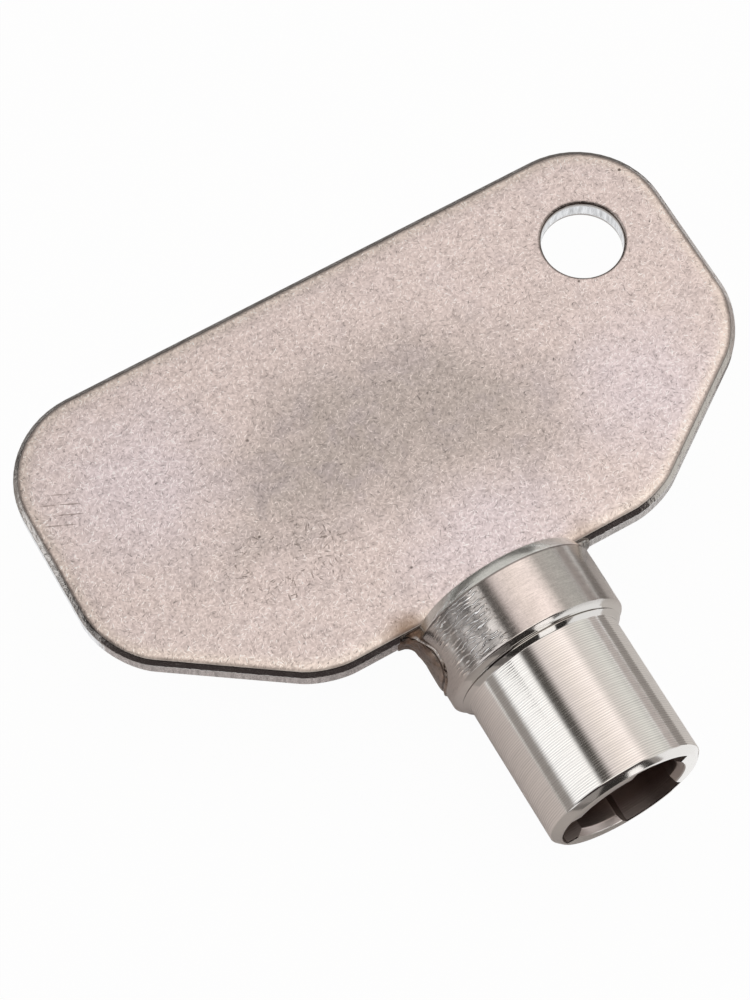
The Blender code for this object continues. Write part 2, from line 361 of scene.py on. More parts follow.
class Field:
    """A shader socket that takes part in Python sums; each sum adds its Math node."""

    def __init__(self, tree, socket=None):
        self.tree = tree
        self.socket = socket

    def node(self, kind, settings=None, inputs=None, output=0):
        """Add any node: its settings first, then the values or links of its sockets."""
        made = self.tree.nodes.new(kind)
        for name, value in (settings or {}).items():
            if name == "stops":
                self.set_stops(made.color_ramp, value)
            else:
                setattr(made, name, value)
        for name, value in (inputs or {}).items():
            if isinstance(value, Field):
                self.tree.links.new(value.socket, made.inputs[name])
            else:
                made.inputs[name].default_value = value
        return Field(self.tree, made.outputs[output] if made.outputs else None)

    @staticmethod
    def set_stops(ramp, stops):
        """Set a colour ramp's stops, each a place and a colour."""
        while len(ramp.elements) < len(stops):
            ramp.elements.new(1.0)
        for element, (place, color) in zip(ramp.elements, stops):
            element.position = place
            element.color = opaque(color)

    def math(self, operation, *others, clamp=False):
        """One Math node on this value and up to two others."""
        inputs = {index: value for index, value in enumerate((self, *others))}
        return self.node("ShaderNodeMath", {"operation": operation, "use_clamp": clamp}, inputs)

    def reflected(self, operation, first):
        """One Math node whose first value is a number."""
        return self.node("ShaderNodeMath", {"operation": operation}, {0: first, 1: self})

    def __add__(self, other):
        return self.math("ADD", other)

    __radd__ = __add__

    def __mul__(self, other):
        return self.math("MULTIPLY", other)

    __rmul__ = __mul__

    def __sub__(self, other):
        return self.math("SUBTRACT", other)

    def __rsub__(self, other):
        return self.reflected("SUBTRACT", other)

    def __truediv__(self, other):
        return self.math("DIVIDE", other)

    def __pow__(self, other):
        return self.math("POWER", other)

    def step(self, low, high, origin=0.0):
        """A smooth rise from 0 at low to 1 at high, counted from an origin; a fall where low is above."""
        inputs = {"Value": self, "From Min": origin + min(low, high), "From Max": origin + max(low, high)}
        if low > high:
            inputs.update({"To Min": 1.0, "To Max": 0.0})
        return self.node("ShaderNodeMapRange", {"interpolation_type": "SMOOTHSTEP"}, inputs)

    def swing(self):
        """A noise about its middle, from -0.5 to 0.5."""
        return self - NOISE_MIDDLE

    def share(self):
        """This value held between 0 and 1."""
        return self.math("MAXIMUM", 0.0, clamp=True)

    def noise(self, point, scale, detail=2.0, roughness=0.5, distortion=0.0):
        """Smooth noise at a point, from 0 to 1."""
        inputs = {
            "Vector": point, "Scale": scale, "Detail": detail,
            "Roughness": roughness, "Distortion": distortion,
        }
        return self.node("ShaderNodeTexNoise", {"noise_dimensions": "3D"}, inputs)

    def mixed(self, first, second):
        """A colour between two others; this value is the share of the second."""
        inputs = {0: self, 6: opaque(first), 7: opaque(second)}
        settings = {"data_type": "RGBA", "clamp_factor": True}
        return self.node("ShaderNodeMix", settings, inputs, output=2)


def opaque(color):
    """A colour with its alpha; a colour that comes from a socket has it already."""
    return color if isinstance(color, Field) else (*color, 1.0)


def new_material(name):
    """A metal material, its shader and a start for its sums."""
    material = bpy.data.materials.new(name)
    material.use_nodes = True
    shader = material.node_tree.nodes["Principled BSDF"]
    shader.inputs["Metallic"].default_value = 1.0
    return material, shader, Field(material.node_tree)


def in_millimetres(start, turn=0.0):
    """Object coordinates in millimetres, turned about Z."""
    place = start.node("ShaderNodeTexCoord", output="Object")
    inputs = {"Vector": place, "Rotation": (0.0, 0.0, turn), "Scale": (MM, MM, MM)}
    return start.node("ShaderNodeMapping", {"vector_type": "POINT"}, inputs)


def apart(start, point):
    """The X, Y and Z of a point."""
    split = start.node("ShaderNodeSeparateXYZ", None, {0: point})
    return [Field(start.tree, socket) for socket in split.socket.node.outputs]


def dress(start, shader, color, roughness, height, bump_depth):
    """Link a finish's colour, roughness and height to its shader."""
    links = start.tree.links
    links.new(color.socket, shader.inputs["Base Color"])
    links.new(roughness.socket, shader.inputs["Roughness"])
    bump = start.node("ShaderNodeBump", None, {"Strength": 1.0, "Distance": bump_depth, "Height": height})
    links.new(bump.socket, shader.inputs["Normal"])


# Finishes
#
# Each finish keeps its numbers in one table, with lengths in millimetres and angles in radians. A band is
# the pair of values between which a mark comes or goes. A noise is its scale, detail, roughness and
# distortion. A patch is its middle, its reach and its stretch along X. The other numbers say how strongly
# a mark shows.

SCRATCH_LOOK = SimpleNamespace(
    bend=2.0,
    solid_share=0.2,
    contrast=2.0,
    darkest=0.8,
)

PLATE_LOOK = SimpleNamespace(
    # Bands of depth below the face
    roll_highlight_band=(0.0, 0.07),
    edge_shade_start=(0.072, 0.1),
    edge_shade_end=(0.2, 0.15),
    worn_band=(0.095, 0.14),
    wall_band=(0.36, 0.43),
    rim_depth=(0.4, 0.3),
    # Noises
    cloud=(0.16, 3.0, 0.6),
    patch=(0.42, 4.0, 0.62, 0.4),
    speck=(1.3, 3.0, 0.68),
    grain=(3.0, 1.0, 0.7),
    fine_grain=(5.4, 0.0),
    dusk=(0.36, 4.0, 0.6, 0.4),
    pit_groups=(0.21, 1.0),
    tears=(1.0, 2.0, 0.6),
    dents=(2.4, 2.0, 0.6),
    # Tint
    handled=((-1.5, 8.0), 10.5, 1.9),
    handled_right=((7.0, 3.0), 8.0),
    handled_right_share=0.45,
    cool=(((-16.0, 12.5), 9.0), ((15.0, 2.5), 8.0), ((1.5, -1.5), 6.5, 1.4)),
    olive_handled=1.25,
    olive_cloud=1.5,
    olive_patch=1.3,
    olive_less=0.1,
    lilac_cool=1.1,
    lilac_patch=1.0,
    dusk_band=(0.5, 0.68),
    olive_share=0.9,
    lilac_share=0.8,
    dusk_share=0.5,
    # Share of the painted highlight on the die roll
    roll_highlight_share=0.7,
    # Scratches: each layer's turn, cells for each millimetre, half length and half width
    scratches=(
        (0.0, 1.7, 0.3, 0.045), (0.9, 2.4, 0.22, 0.042), (2.1, 3.3, 0.16, 0.04), (1.4, 4.6, 0.12, 0.038),
    ),
    scuffs=((0.4, 1.3, 0.4, 0.06), (1.7, 1.8, 0.3, 0.055), (2.9, 2.6, 0.22, 0.05)),
    scuffed=((-10.3, 3.4), 4.6, 1.4),
    scuffed_band=(0.1, 0.5),
    scuffed_patch=(0.37, 0.5),
    scratch_share=0.52,
    scuff_share=0.75,
    # File marks
    filed=((-21.0, 13.2), 1.9),
    filed_band=(0.1, 0.4),
    filed_patch=(0.4, 0.5),
    file_way=(0.42, 0.91),
    file_pitch=0.7,
    file_line=(0.88, 0.99),
    file_share=0.6,
    # Pits
    pit_cells=0.5,
    pit_size=(0.07, 0.03),
    pit_band=(0.48, 0.56),
    pit_share=0.85,
    # Light and dark of the grain
    shade_grain=0.42,
    shade_speck=0.6,
    shade_fine=0.4,
    shade_less=0.06,
    shade_calm=0.6,
    # Brown stain beside the welds, fainter on the right
    stain_place=(6.3, -4.7),
    stain_ragged=1.5,
    stain_reach=(2.0, 0.3),
    stain_share=0.85,
    stain_right=(0.0, 1.0),
    stain_right_less=0.5,
    # Edge, rim of the hole and sheared wall: painted shade along the bevel's start and round the rim, painted
    # glints on the wall's tears
    worn_share=0.85,
    rim_reach=(0.26, 0.15),
    edge_shade_least=0.3,
    edge_shade_patch=0.6,
    rim_shade_least=0.2,
    rim_shade_patch=0.8,
    tear_across=5.0,
    tear_down=0.8,
    wall_least=0.35,
    wall_tears_and_glints=1.3,
    # Roughness
    satin=0.34,
    satin_grain=0.25,
    satin_speck=0.16,
    satin_pits=0.2,
    worn_gloss=0.45,
    wall_rough=0.08,
    # Height
    height_grain=0.8,
    height_speck=0.9,
    height_fine=0.6,
    height_scratch=0.4,
    height_scuff=0.6,
    height_pit=1.6,
    height_tear=4.0,
    height_dent=2.5,
    bump_depth=0.000014,
)

BARREL_LOOK = SimpleNamespace(
    # Bands along the axis, counted from the tube's end, the chamfer's start or the mouth
    shoulder_band=(0.0, 0.03),
    collar_band=(0.45, 0.75),
    tube_end_band=(0.0, -0.1),
    tube_mouth_band=(0.35, 0.5),
    # Painted highlight on the collar's chamfer
    chamfer_band=(-0.02, 0.06),
    # Painted shade in the shoulder's groove and on the line under the collar's chamfer
    crease_start=(0.25, 0.29),
    crease_end=(0.36, 0.32),
    edge_start=(-0.12, -0.05),
    edge_end=(0.05, 0.0),
    # The socket, darkened with painted shade, darker deeper in
    bore_radius=(4.72, 4.64),
    bore_start=(0.02, 0.1),
    bore_end=(2.0, 1.0),
    deep_shade_band=(0.1, 1.4),
    # Unrolled skins: stretch along the axis, stretch round it, and a place of its own for each noise
    wander_skin=(0.9, 1.2, 2.0),
    uneven_skin=(5.5, 1.6, 0.0),
    ripple_skin=(1.4, 3.6, 1.0),
    break_skin=(3.6, 7.0, 5.0),
    score_skin=(13.0, 5.0, 3.0),
    # Noises
    wander=(1.0, 2.0, 0.6),
    uneven=(1.0, 3.0, 0.7),
    ring_depth=(2.3, 2.0, 0.6),
    grain=(6.0, 3.0, 0.7),
    blotch=(0.9, 3.0, 0.6),
    ripple=(1.0, 2.0, 0.6),
    breaks=(1.0, 1.0),
    scores=(1.0, 2.0, 0.6),
    chatter_groups=(0.8, 1.0),
    # Rings from the tool, with painted light and shade along them
    ring_pitch=0.15,
    ring_wander=7.0,
    ring_depth_band=(0.3, 0.7),
    ring_least=0.06,
    ring_more=0.08,
    ring_uneven=0.3,
    # Painted shade on the collar's flanks, by their turn from upright
    left_band=(0.0, -0.1),
    flank_shade_band=(0.22, 0.32),
    flank_shade_left_less=0.55,
    flank_shade_far_band=(0.85, 1.2),
    flank_shade_far_less=0.4,
    flank_shade_left_band=(0.75, 1.0),
    flank_shade_left_more=0.55,
    flank_shade_share=0.8,
    flank_shade_blotch=0.5,
    # Chatter on the collar's upper left; in the colour its crests carry painted highlight and its troughs
    # painted shade
    ripple_pitch=0.27,
    ripple_wander=17.0,
    crest_band=(0.1, 0.95),
    break_band=(0.34, 0.5),
    chatter_turn_start=(1.9, 2.05),
    chatter_turn_end=(2.72, 2.5),
    chatter_start=(10.7, 10.9),
    chatter_end=(15.0, 14.7),
    chatter_group_band=(0.3, 0.5),
    chatter_contrast=1.5,
    chatter_less=0.28,
    chatter_shade=1.1,
    # Light and dark
    shade=0.97,
    shade_grain=0.5,
    shade_blotch=0.22,
    shade_scores=0.45,
    shade_shoulder=0.1,
    crease_shade_share=0.75,
    edge_line_shade_share=0.55,
    bore_shade_share=0.6,
    deep_shade_share=0.4,
    # Roughness
    rough=0.14,
    rough_uneven=0.08,
    rough_grain=0.1,
    rough_collar=0.05,
    rough_bore=0.2,
    rough_shoulder=0.06,
    # Height
    height_rings=0.1,
    height_uneven=0.3,
    height_chatter=2.6,
    height_grain=0.1,
    height_scores=0.2,
    bump_depth=0.000012,
)

WELD_LOOK = SimpleNamespace(
    # Noises
    flow=(1.1, 3.0, 0.6, 0.6),
    grain=(8.0, 3.0, 0.65),
    mottle=(2.4, 3.0, 0.6, 0.8),
    # Painted shade in the toe and painted highlight on the crest of the bead
    toe_band=(0.4, 0.95),
    toe_shade_share=0.85,
    crest_band=(0.45, 0.85),
    crest_start=(12.4, 13.2),
    crest_end=(15.2, 14.8),
    crest_upper=(6.5, 6.9),
    crest_highlight_share=0.9,
    # Heat tint
    left_band=(0.0, -0.1),
    tint_band=(13.4, 15.2),
    tint_share=0.55,
    tint_flow=(0.36, 0.66),
    tint_flow_share=0.6,
    # Light and dark
    shade=0.95,
    shade_grain=0.6,
    shade_flow=1.2,
    shade_mottle=2.2,
    shade_top=(14.9, 15.4),
    shade_top_less=0.35,
    # Roughness and height
    rough=0.15,
    rough_flow=0.14,
    rough_toe=0.2,
    height_grain=0.12,
    bump_depth=0.00012,
)


def total(values):
    """The sum of several values."""
    return reduce(add, values)


def scratches_in_cells(start, turn, density, half_length, half_width):
    """Short bent scratches, one to a cell of the pattern: light ones above 0 and dark ones below."""
    look = SCRATCH_LOOK
    point = in_millimetres(start, turn)
    cell = start.node(
        "ShaderNodeTexVoronoi", {"feature": "F1", "voronoi_dimensions": "2D"},
        {"Vector": point, "Scale": density, "Randomness": 1.0}, output="Color",
    )
    middle = Field(start.tree, cell.socket.node.outputs["Position"])
    away = start.node("ShaderNodeVectorMath", {"operation": "SUBTRACT"}, {0: point, 1: middle})
    x, y, _ = apart(start, away)
    way, bend, strength = apart(start, cell)
    cosine = (way * math.tau).math("COSINE")
    sine = (way * math.tau).math("SINE")
    along = x * cosine + y * sine
    across = y * cosine - x * sine + bend.swing() * along ** 2 * look.bend
    line = across.math("ABSOLUTE").step(half_width, 0.0)
    ends = along.math("ABSOLUTE").step(half_length, half_length * look.solid_share)
    return line * ends * (strength * look.contrast - look.darkest)


def all_scratches(start, layers):
    """Several layers of scratches together."""
    return total(scratches_in_cells(start, *layer) for layer in layers)


def shaded(start, color, shade):
    """A colour made lighter or darker by a value."""
    grey = start.node("ShaderNodeCombineColor", None, {0: shade, 1: shade, 2: shade})
    settings = {"data_type": "RGBA", "blend_type": "MULTIPLY"}
    return start.node("ShaderNodeMix", settings, {0: 1.0, 6: opaque(color), 7: grey}, output=2)


def blob(x, y, center, reach, stretch=1.0):
    """A soft round patch: 1 at its centre, 0 at its reach, longer along X by stretch."""
    far = (((x - center[0]) / stretch) ** 2 + (y - center[1]) ** 2).math("SQRT")
    return far.step(reach, 0.0)


def unrolled(start, along, turn, stretch):
    """A point on the barrel's unrolled skin, for a noise that follows the turning."""
    inputs = {0: along * stretch[0], 1: turn * stretch[1], 2: stretch[2]}
    return start.node("ShaderNodeCombineXYZ", None, inputs)


def tumbled_steel(bow):
    """Satin sheet, tumbled after stamping: mottled tint, fine grain, short scratches, a few pits, a painted
    highlight on the die roll, painted shade along the bevel and round the hole, and painted glints on the
    sheared wall's tears.
    """
    look = PLATE_LOOK
    material, shader, start = new_material("tumbled_steel")
    point = in_millimetres(start)
    x, y, z = apart(start, point)
    sunk = PLATE_THICKNESS / 2 * MM - (z - AXIS * MM).math("ABSOLUTE")
    # roll marks the die roll, whose cream colour is a painted highlight
    roll = sunk.step(*look.roll_highlight_band)
    # Painted shade along the start of the bevel
    edge_shade = sunk.step(*look.edge_shade_start) * sunk.step(*look.edge_shade_end)
    worn_edge = sunk.step(*look.worn_band)
    wall = sunk.step(*look.wall_band)

    cloud = start.noise(point, *look.cloud)
    patch = start.noise(point, *look.patch)
    speck = start.noise(point, *look.speck)
    grain = start.noise(point, *look.grain)
    fine_grain = start.noise(point, *look.fine_grain)

    handled = blob(x, y, *look.handled) + blob(x, y, *look.handled_right) * look.handled_right_share
    olive = handled * look.olive_handled + cloud.swing() * look.olive_cloud
    olive = (olive + patch.swing() * look.olive_patch - look.olive_less).share()
    cool = total(blob(x, y, *place) for place in look.cool)
    lilac = (cool * look.lilac_cool + patch.swing() * look.lilac_patch).share()
    dusk = start.noise(point, *look.dusk).step(*look.dusk_band) * handled
    color = (olive * look.olive_share).mixed(bow.warm_color, bow.olive_color)
    color = (lilac * look.lilac_share).mixed(color, bow.lilac_color)
    color = (dusk * look.dusk_share).mixed(color, bow.dusk_color)
    # Painted highlight on the die roll
    color = (roll * look.roll_highlight_share).mixed(color, bow.roll_highlight_color)

    scratches = all_scratches(start, look.scratches)
    scuffed = blob(x, y, *look.scuffed).step(*look.scuffed_band) * patch.step(*look.scuffed_patch)
    scuffs = all_scratches(start, look.scuffs).share() * scuffed
    across_file = x * look.file_way[0] + y * look.file_way[1]
    filed = (across_file * (math.tau / look.file_pitch)).math("SINE").step(*look.file_line)
    filed = filed * blob(x, y, *look.filed).step(*look.filed_band) * patch.step(*look.filed_patch)

    dots = start.node(
        "ShaderNodeTexVoronoi", {"feature": "F1", "voronoi_dimensions": "3D"},
        {"Vector": point, "Scale": look.pit_cells, "Randomness": 1.0},
    )
    pits = dots.step(*look.pit_size) * start.noise(point, *look.pit_groups).step(*look.pit_band)

    fine = 1.0 - worn_edge
    coarse = grain.swing() * look.shade_grain + speck.swing() * look.shade_speck
    coarse = coarse + fine_grain.swing() * look.shade_fine - look.shade_less
    shade = 1.0 + coarse * (1.0 - worn_edge * look.shade_calm) + scratches * fine * look.scratch_share
    color = shaded(start, color, shade)
    color = ((scuffs * look.scuff_share + filed * look.file_share) * fine).mixed(color, bow.pit_color)
    color = (pits * look.pit_share).mixed(color, bow.pit_color)

    aside = x.math("ABSOLUTE") - look.stain_place[0]
    from_weld = (aside ** 2 + (y - look.stain_place[1]) ** 2).math("SQRT") + patch.swing() * look.stain_ragged
    fainter = x.step(*look.stain_right) * look.stain_right_less
    stain = from_weld.step(*look.stain_reach) * (look.stain_share - fainter)
    color = stain.mixed(color, bow.stain_color)
    color = (worn_edge * look.worn_share).mixed(color, bow.edge_color)

    hole_x = (PLATE_HIGH.x - bow.hole_side_inset) * MM
    hole_y = (TOP - bow.hole_top_inset) * MM
    from_hole = ((x - hole_x) ** 2 + (y - hole_y) ** 2).math("SQRT") - bow.hole_diameter / 2 * MM
    # Painted shade round the rim of the keyring hole and along the start of the bevel
    rim = from_hole.step(*look.rim_reach) * sunk.step(*look.rim_depth)
    painted_edge_shade = edge_shade * (look.edge_shade_least + patch * look.edge_shade_patch)
    painted_rim_shade = rim * (look.rim_shade_least + patch * look.rim_shade_patch)
    color = (painted_edge_shade + painted_rim_shade).mixed(color, bow.edge_shade_color)
    # The tears are real shear marks; their light streaks in the wall's colour are partly painted glints.
    tear_point = {0: x * look.tear_across, 1: y * look.tear_across, 2: z * look.tear_down}
    tears = start.noise(start.node("ShaderNodeCombineXYZ", None, tear_point), *look.tears)
    color = wall.mixed(color, shaded(start, bow.wall_color, look.wall_least + tears * look.wall_tears_and_glints))

    satin = look.satin + grain.swing() * look.satin_grain + speck.swing() * look.satin_speck
    satin = satin + pits * look.satin_pits
    roughness = satin * (1.0 - worn_edge * look.worn_gloss) + wall * look.wall_rough
    marks = grain.swing() * look.height_grain + speck.swing() * look.height_speck
    marks = marks + fine_grain.swing() * look.height_fine
    marks = marks + scratches * look.height_scratch - scuffs * look.height_scuff
    dents = start.noise(point, *look.dents) * worn_edge * (1.0 - wall)
    height = marks * fine - pits * look.height_pit
    height = height + wall * tears * look.height_tear + dents * look.height_dent
    dress(start, shader, color, roughness, height, look.bump_depth)
    return material


def turned_steel(barrel):
    """Bright turned bar: rings from the tool on the tube and chatter on the collar, both with painted light
    and shade, painted shade on the collar's flanks, in the shoulder's groove, under the chamfer and in the
    socket, and a painted highlight on the collar's chamfer.
    """
    look = BARREL_LOOK
    material, shader, start = new_material("turned_steel")
    point = in_millimetres(start)
    x, y, z = apart(start, point)
    drop = z - AXIS * MM
    radius = (x ** 2 + drop ** 2).math("SQRT")
    along = y - MOUTH * MM
    turn = drop.math("ARCTAN2", x)
    tube_end = barrel.tube_length * MM
    chamfer_start = (FOOT - MOUTH) * MM - barrel.collar_chamfer * MM

    wander_point = unrolled(start, along, turn, look.wander_skin)
    wander = start.noise(wander_point, *look.wander)
    rings = (along * (math.tau / look.ring_pitch) + wander * look.ring_wander).math("SINE")
    uneven = start.noise(unrolled(start, along, turn, look.uneven_skin), *look.uneven)
    ring_depth = start.noise(wander_point, *look.ring_depth).step(*look.ring_depth_band)

    shoulder = along.step(*look.shoulder_band, origin=tube_end)
    on_collar = along.step(*look.collar_band, origin=tube_end)
    on_tube = along.step(*look.tube_end_band, origin=tube_end) * along.step(*look.tube_mouth_band)
    # Painted highlight on the collar's chamfer
    chamfer_highlight = along.step(*look.chamfer_band, origin=chamfer_start)
    only_shoulder = shoulder * (1.0 - on_collar)
    grain = start.noise(point, *look.grain)
    blotch = start.noise(point, *look.blotch)

    # Painted shade on the collar's flanks, by their turn from upright; dulled below carries this shade
    upright = (turn.math("ABSOLUTE") - math.pi / 2).math("ABSOLUTE")
    left_flank = x.step(*look.left_band)
    flank_shade = upright.step(*look.flank_shade_band) * (1.0 - left_flank * look.flank_shade_left_less)
    flank_shade = flank_shade * (1.0 - upright.step(*look.flank_shade_far_band) * look.flank_shade_far_less)
    flank_shade = flank_shade + upright.step(*look.flank_shade_left_band) * left_flank * look.flank_shade_left_more

    ripple = start.noise(unrolled(start, along, turn, look.ripple_skin), *look.ripple)
    ripples = (along * (math.tau / look.ripple_pitch) + ripple * look.ripple_wander).math("SINE")
    breaks = start.noise(unrolled(start, along, turn, look.break_skin), *look.breaks)
    crests = ripples.step(*look.crest_band) * breaks.step(*look.break_band)
    scores = start.noise(unrolled(start, along, turn, look.score_skin), *look.scores).swing()
    chattered = turn.step(*look.chatter_turn_start) * turn.step(*look.chatter_turn_end)
    chattered = chattered * along.step(*look.chatter_start) * along.step(*look.chatter_end)
    chattered = chattered * start.noise(point, *look.chatter_groups).step(*look.chatter_group_band)
    # The chatter marks are real; their light crests and dark troughs in the colour are painted highlight and
    # shade.
    chatter = (crests * look.chatter_contrast - look.chatter_less) * chattered

    # Painted shade in the socket, darker deeper in
    inside = radius.step(*look.bore_radius) * along.step(*look.bore_start)
    inside = inside * along.step(*look.bore_end, origin=tube_end)
    deep_shade = inside * along.step(*look.deep_shade_band)

    dulled = flank_shade * (look.flank_shade_share + blotch.swing() * look.flank_shade_blotch)
    color = dulled.mixed(barrel.collar_color, barrel.flank_shade_color)
    color = chamfer_highlight.mixed(color, barrel.chamfer_highlight_color)
    color = on_collar.mixed(barrel.turned_color, color)
    # The rings are real marks from the tool; their light and dark in the colour is painted light and shade.
    ring_shade = rings * (look.ring_least + ring_depth * look.ring_more) + uneven.swing() * look.ring_uneven
    collar_shade = grain.swing() * look.shade_grain + blotch.swing() * look.shade_blotch
    collar_shade = on_collar * (collar_shade + scores * look.shade_scores) + chatter * look.chatter_shade
    shade = look.shade + on_tube * ring_shade + collar_shade
    color = shaded(start, color, shade - only_shoulder * look.shade_shoulder)
    # Painted shade in the shoulder's groove and on the line under the collar's chamfer
    crease_shade = along.step(*look.crease_start, origin=tube_end) * along.step(*look.crease_end, origin=tube_end)
    edge_line_shade = along.step(*look.edge_start, origin=chamfer_start)
    edge_line_shade = edge_line_shade * along.step(*look.edge_end, origin=chamfer_start)
    color = (crease_shade * look.crease_shade_share + edge_line_shade * look.edge_line_shade_share).mixed(color, barrel.line_color)
    color = (inside * look.bore_shade_share + deep_shade * look.deep_shade_share).mixed(color, barrel.bore_shade_color)

    roughness = look.rough + uneven.swing() * look.rough_uneven
    roughness = roughness + on_collar * (grain.swing() * look.rough_grain + look.rough_collar)
    roughness = roughness + inside * look.rough_bore - only_shoulder * look.rough_shoulder
    height = on_tube * (rings * look.height_rings + uneven * look.height_uneven)
    height = height + chatter * look.height_chatter
    height = height + (grain * look.height_grain + scores * look.height_scores) * on_collar
    dress(start, shader, color, roughness, height, look.bump_depth)
    return material


def weld_steel(weld):
    """Glossy weld metal with painted shade in its toe and pit, a painted highlight on the crest of its bead
    and a brown heat tint towards the bow.
    """
    look = WELD_LOOK
    material, shader, start = new_material("weld_steel")
    point = in_millimetres(start)
    x, y, z = apart(start, point)
    along = y - MOUTH * MM
    flow = start.noise(point, *look.flow)
    grain = start.noise(point, *look.grain)
    mottle = start.noise(point, *look.mottle)
    toe, crest = (
        start.node("ShaderNodeAttribute", {"attribute_name": name}, None, output="Fac") for name in WELD_MARKS
    )
    # toe is painted shade in the groove round the weld and in the pit
    toe = toe.step(*look.toe_band)
    # Painted highlight on the bead's crest beside the bow
    crest_highlight = crest.step(*look.crest_band) * along.step(*look.crest_start) * along.step(*look.crest_end)
    crest_highlight = crest_highlight * z.step(*look.crest_upper)
    left = x.step(*look.left_band)
    tint = along.step(*look.tint_band) * look.tint_share + flow.step(*look.tint_flow) * look.tint_flow_share
    color = tint.share().mixed(weld.metal_color, weld.tint_color)
    color = (toe * look.toe_shade_share).mixed(color, weld.toe_shade_color)
    color = left.mixed(weld.grey_color, color)
    shade = look.shade + grain.swing() * look.shade_grain + flow.swing() * look.shade_flow
    shade = shade + mottle.swing() * look.shade_mottle - along.step(*look.shade_top) * look.shade_top_less
    color = shaded(start, color, shade)
    color = (crest_highlight * look.crest_highlight_share).mixed(color, weld.crest_highlight_color)
    roughness = look.rough + flow.swing() * look.rough_flow + toe * look.rough_toe
    dress(start, shader, color, roughness, flow + grain * look.height_grain, look.bump_depth)
    return material


# Pieces


class KEY_OT_bow_plate(bpy.types.Operator):
    """Model the stamped bow plate with its tang and its keyring hole."""

    bl_idname = "key.bow_plate"
    bl_label = "Bow plate"

    CORNER_STEPS = 14
    ROUND_STEPS = 6
    ROLL_STEPS = 6
    HOLE_STEPS = 96
    CORNER_NEAR = 10 * NEAR
    FLARE_SHARE = 0.92
    SMOOTH_ANGLE = math.radians(32.0)

    def outline(self, bow):
        """The flat outline: wide top, slanted lower sides, tang at the foot, rounded corners."""
        half_width = PLATE_HIGH.x
        slant_start = FOOT + bow.slant_drop
        begin()
        bpy.ops.mesh.primitive_plane_add(size=1.0, location=(0.0, (FOOT + TOP) / 2, AXIS))
        plate = bpy.context.object
        plate.scale = (2 * half_width, TOP - FOOT, 1.0)
        apply_place()
        edit_mode()
        for side in (-1, 1):
            slant = (side * bow.slant_drop, bow.foot_width / 2 - half_width, 0.0)
            cut_off((side * half_width, slant_start, AXIS), slant, clear_outer=True)
        for side in (-1, 1):
            cut_off((side * bow.tang_width / 2, FOOT, AXIS), (1.0, 0.0, 0.0))
        pick("edges", lambda edge: all(
            abs(v.co.y - FOOT) < NEAR and abs(v.co.x) < bow.tang_width / 2 + NEAR for v in edge.verts
        ))
        bpy.ops.mesh.extrude_region_move(TRANSFORM_OT_translate={"value": (0.0, -bow.tang_length, 0.0)})
        bpy.ops.mesh.select_all(action="SELECT")
        bpy.ops.mesh.dissolve_faces()
        corners = (
            (half_width, TOP, bow.top_reach),
            (half_width, slant_start, bow.side_reach),
            (bow.foot_width / 2, FOOT, bow.foot_reach),
        )
        for x, y, reach in corners:
            pick("verts", lambda v: math.hypot(abs(v.co.x) - x, v.co.y - y) < self.CORNER_NEAR)
            bevel_points(reach, self.CORNER_STEPS)
        return plate

    def edge_profile(self, bow):
        """Insets and rises from the side wall to the flat face: corner, bevel, ease and die roll."""
        places = [(0.0, 0.0)]
        for step in range(1, self.ROUND_STEPS + 1):
            angle = math.pi / 2 + (bow.bevel_tilt - math.pi / 2) * step / self.ROUND_STEPS
            places.append((bow.edge_corner * (1 - math.sin(angle)), bow.edge_corner * math.cos(angle)))
        inset, rise = places[-1]
        inset += bow.bevel_width
        rise += bow.bevel_width * math.tan(bow.bevel_tilt)
        places.append((inset, rise))
        for step in range(1, self.ROUND_STEPS + 1):
            angle = bow.bevel_tilt + (bow.roll_tilt - bow.bevel_tilt) * step / self.ROUND_STEPS
            places.append((
                inset + bow.edge_ease * (math.sin(bow.bevel_tilt) - math.sin(angle)),
                rise + bow.edge_ease * (math.cos(angle) - math.cos(bow.bevel_tilt)),
            ))
        inset, rise = places[-1]
        for step in range(1, self.ROLL_STEPS + 1):
            share = step / self.ROLL_STEPS
            fall = bow.roll_width * math.tan(bow.roll_tilt) * (share - share ** 2 / 2)
            places.append((inset + bow.roll_width * share, rise + fall))
        steps = [(here[0] - last[0], here[1] - last[1]) for last, here in zip(places, places[1:])]
        return steps, places[-1][1]

    def thicken(self, bow):
        """Give the outline its wall, then inset both faces along the edge's profile."""
        steps, sunk = self.edge_profile(bow)
        wall = PLATE_THICKNESS - 2 * sunk
        bpy.ops.mesh.select_all(action="SELECT")
        bpy.ops.transform.translate(value=(0.0, 0.0, -wall / 2))
        bpy.ops.mesh.extrude_region_move(TRANSFORM_OT_translate={"value": (0.0, 0.0, wall)})
        tidy_mesh()
        for side in (1, -1):
            pick("faces", lambda face: side * (face.calc_center_median().z - AXIS) > wall / 2 - NEAR)
            for width, rise in steps:
                bpy.ops.mesh.inset(thickness=width, depth=0.0, use_even_offset=True)
                bpy.ops.transform.translate(value=(0.0, 0.0, side * rise))

    def hole_cutter(self, bow):
        """A round cutter whose ends flare, so that it rounds the hole's edges."""
        center_x = PLATE_HIGH.x - bow.hole_side_inset
        center_y = TOP - bow.hole_top_inset
        radius = bow.hole_diameter / 2
        edge = PLATE_THICKNESS / 2 - bow.hole_round * self.FLARE_SHARE
        flare = arc((radius + bow.hole_round, edge), bow.hole_round, math.pi, math.pi / 2, self.ROUND_STEPS)
        half = [(radius, 0.0)] + flare
        half += [(radius + bow.hole_round, PLATE_THICKNESS), (0.0, PLATE_THICKNESS)]
        profile = [(r, -h) for r, h in reversed(half)] + half[1:]
        cutter = draw_wire([(center_x + r, center_y, AXIS + h) for r, h in profile])
        spin_solid((center_x, center_y, AXIS), (0.0, 0.0, 1.0), self.HOLE_STEPS)
        object_mode()
        return cutter

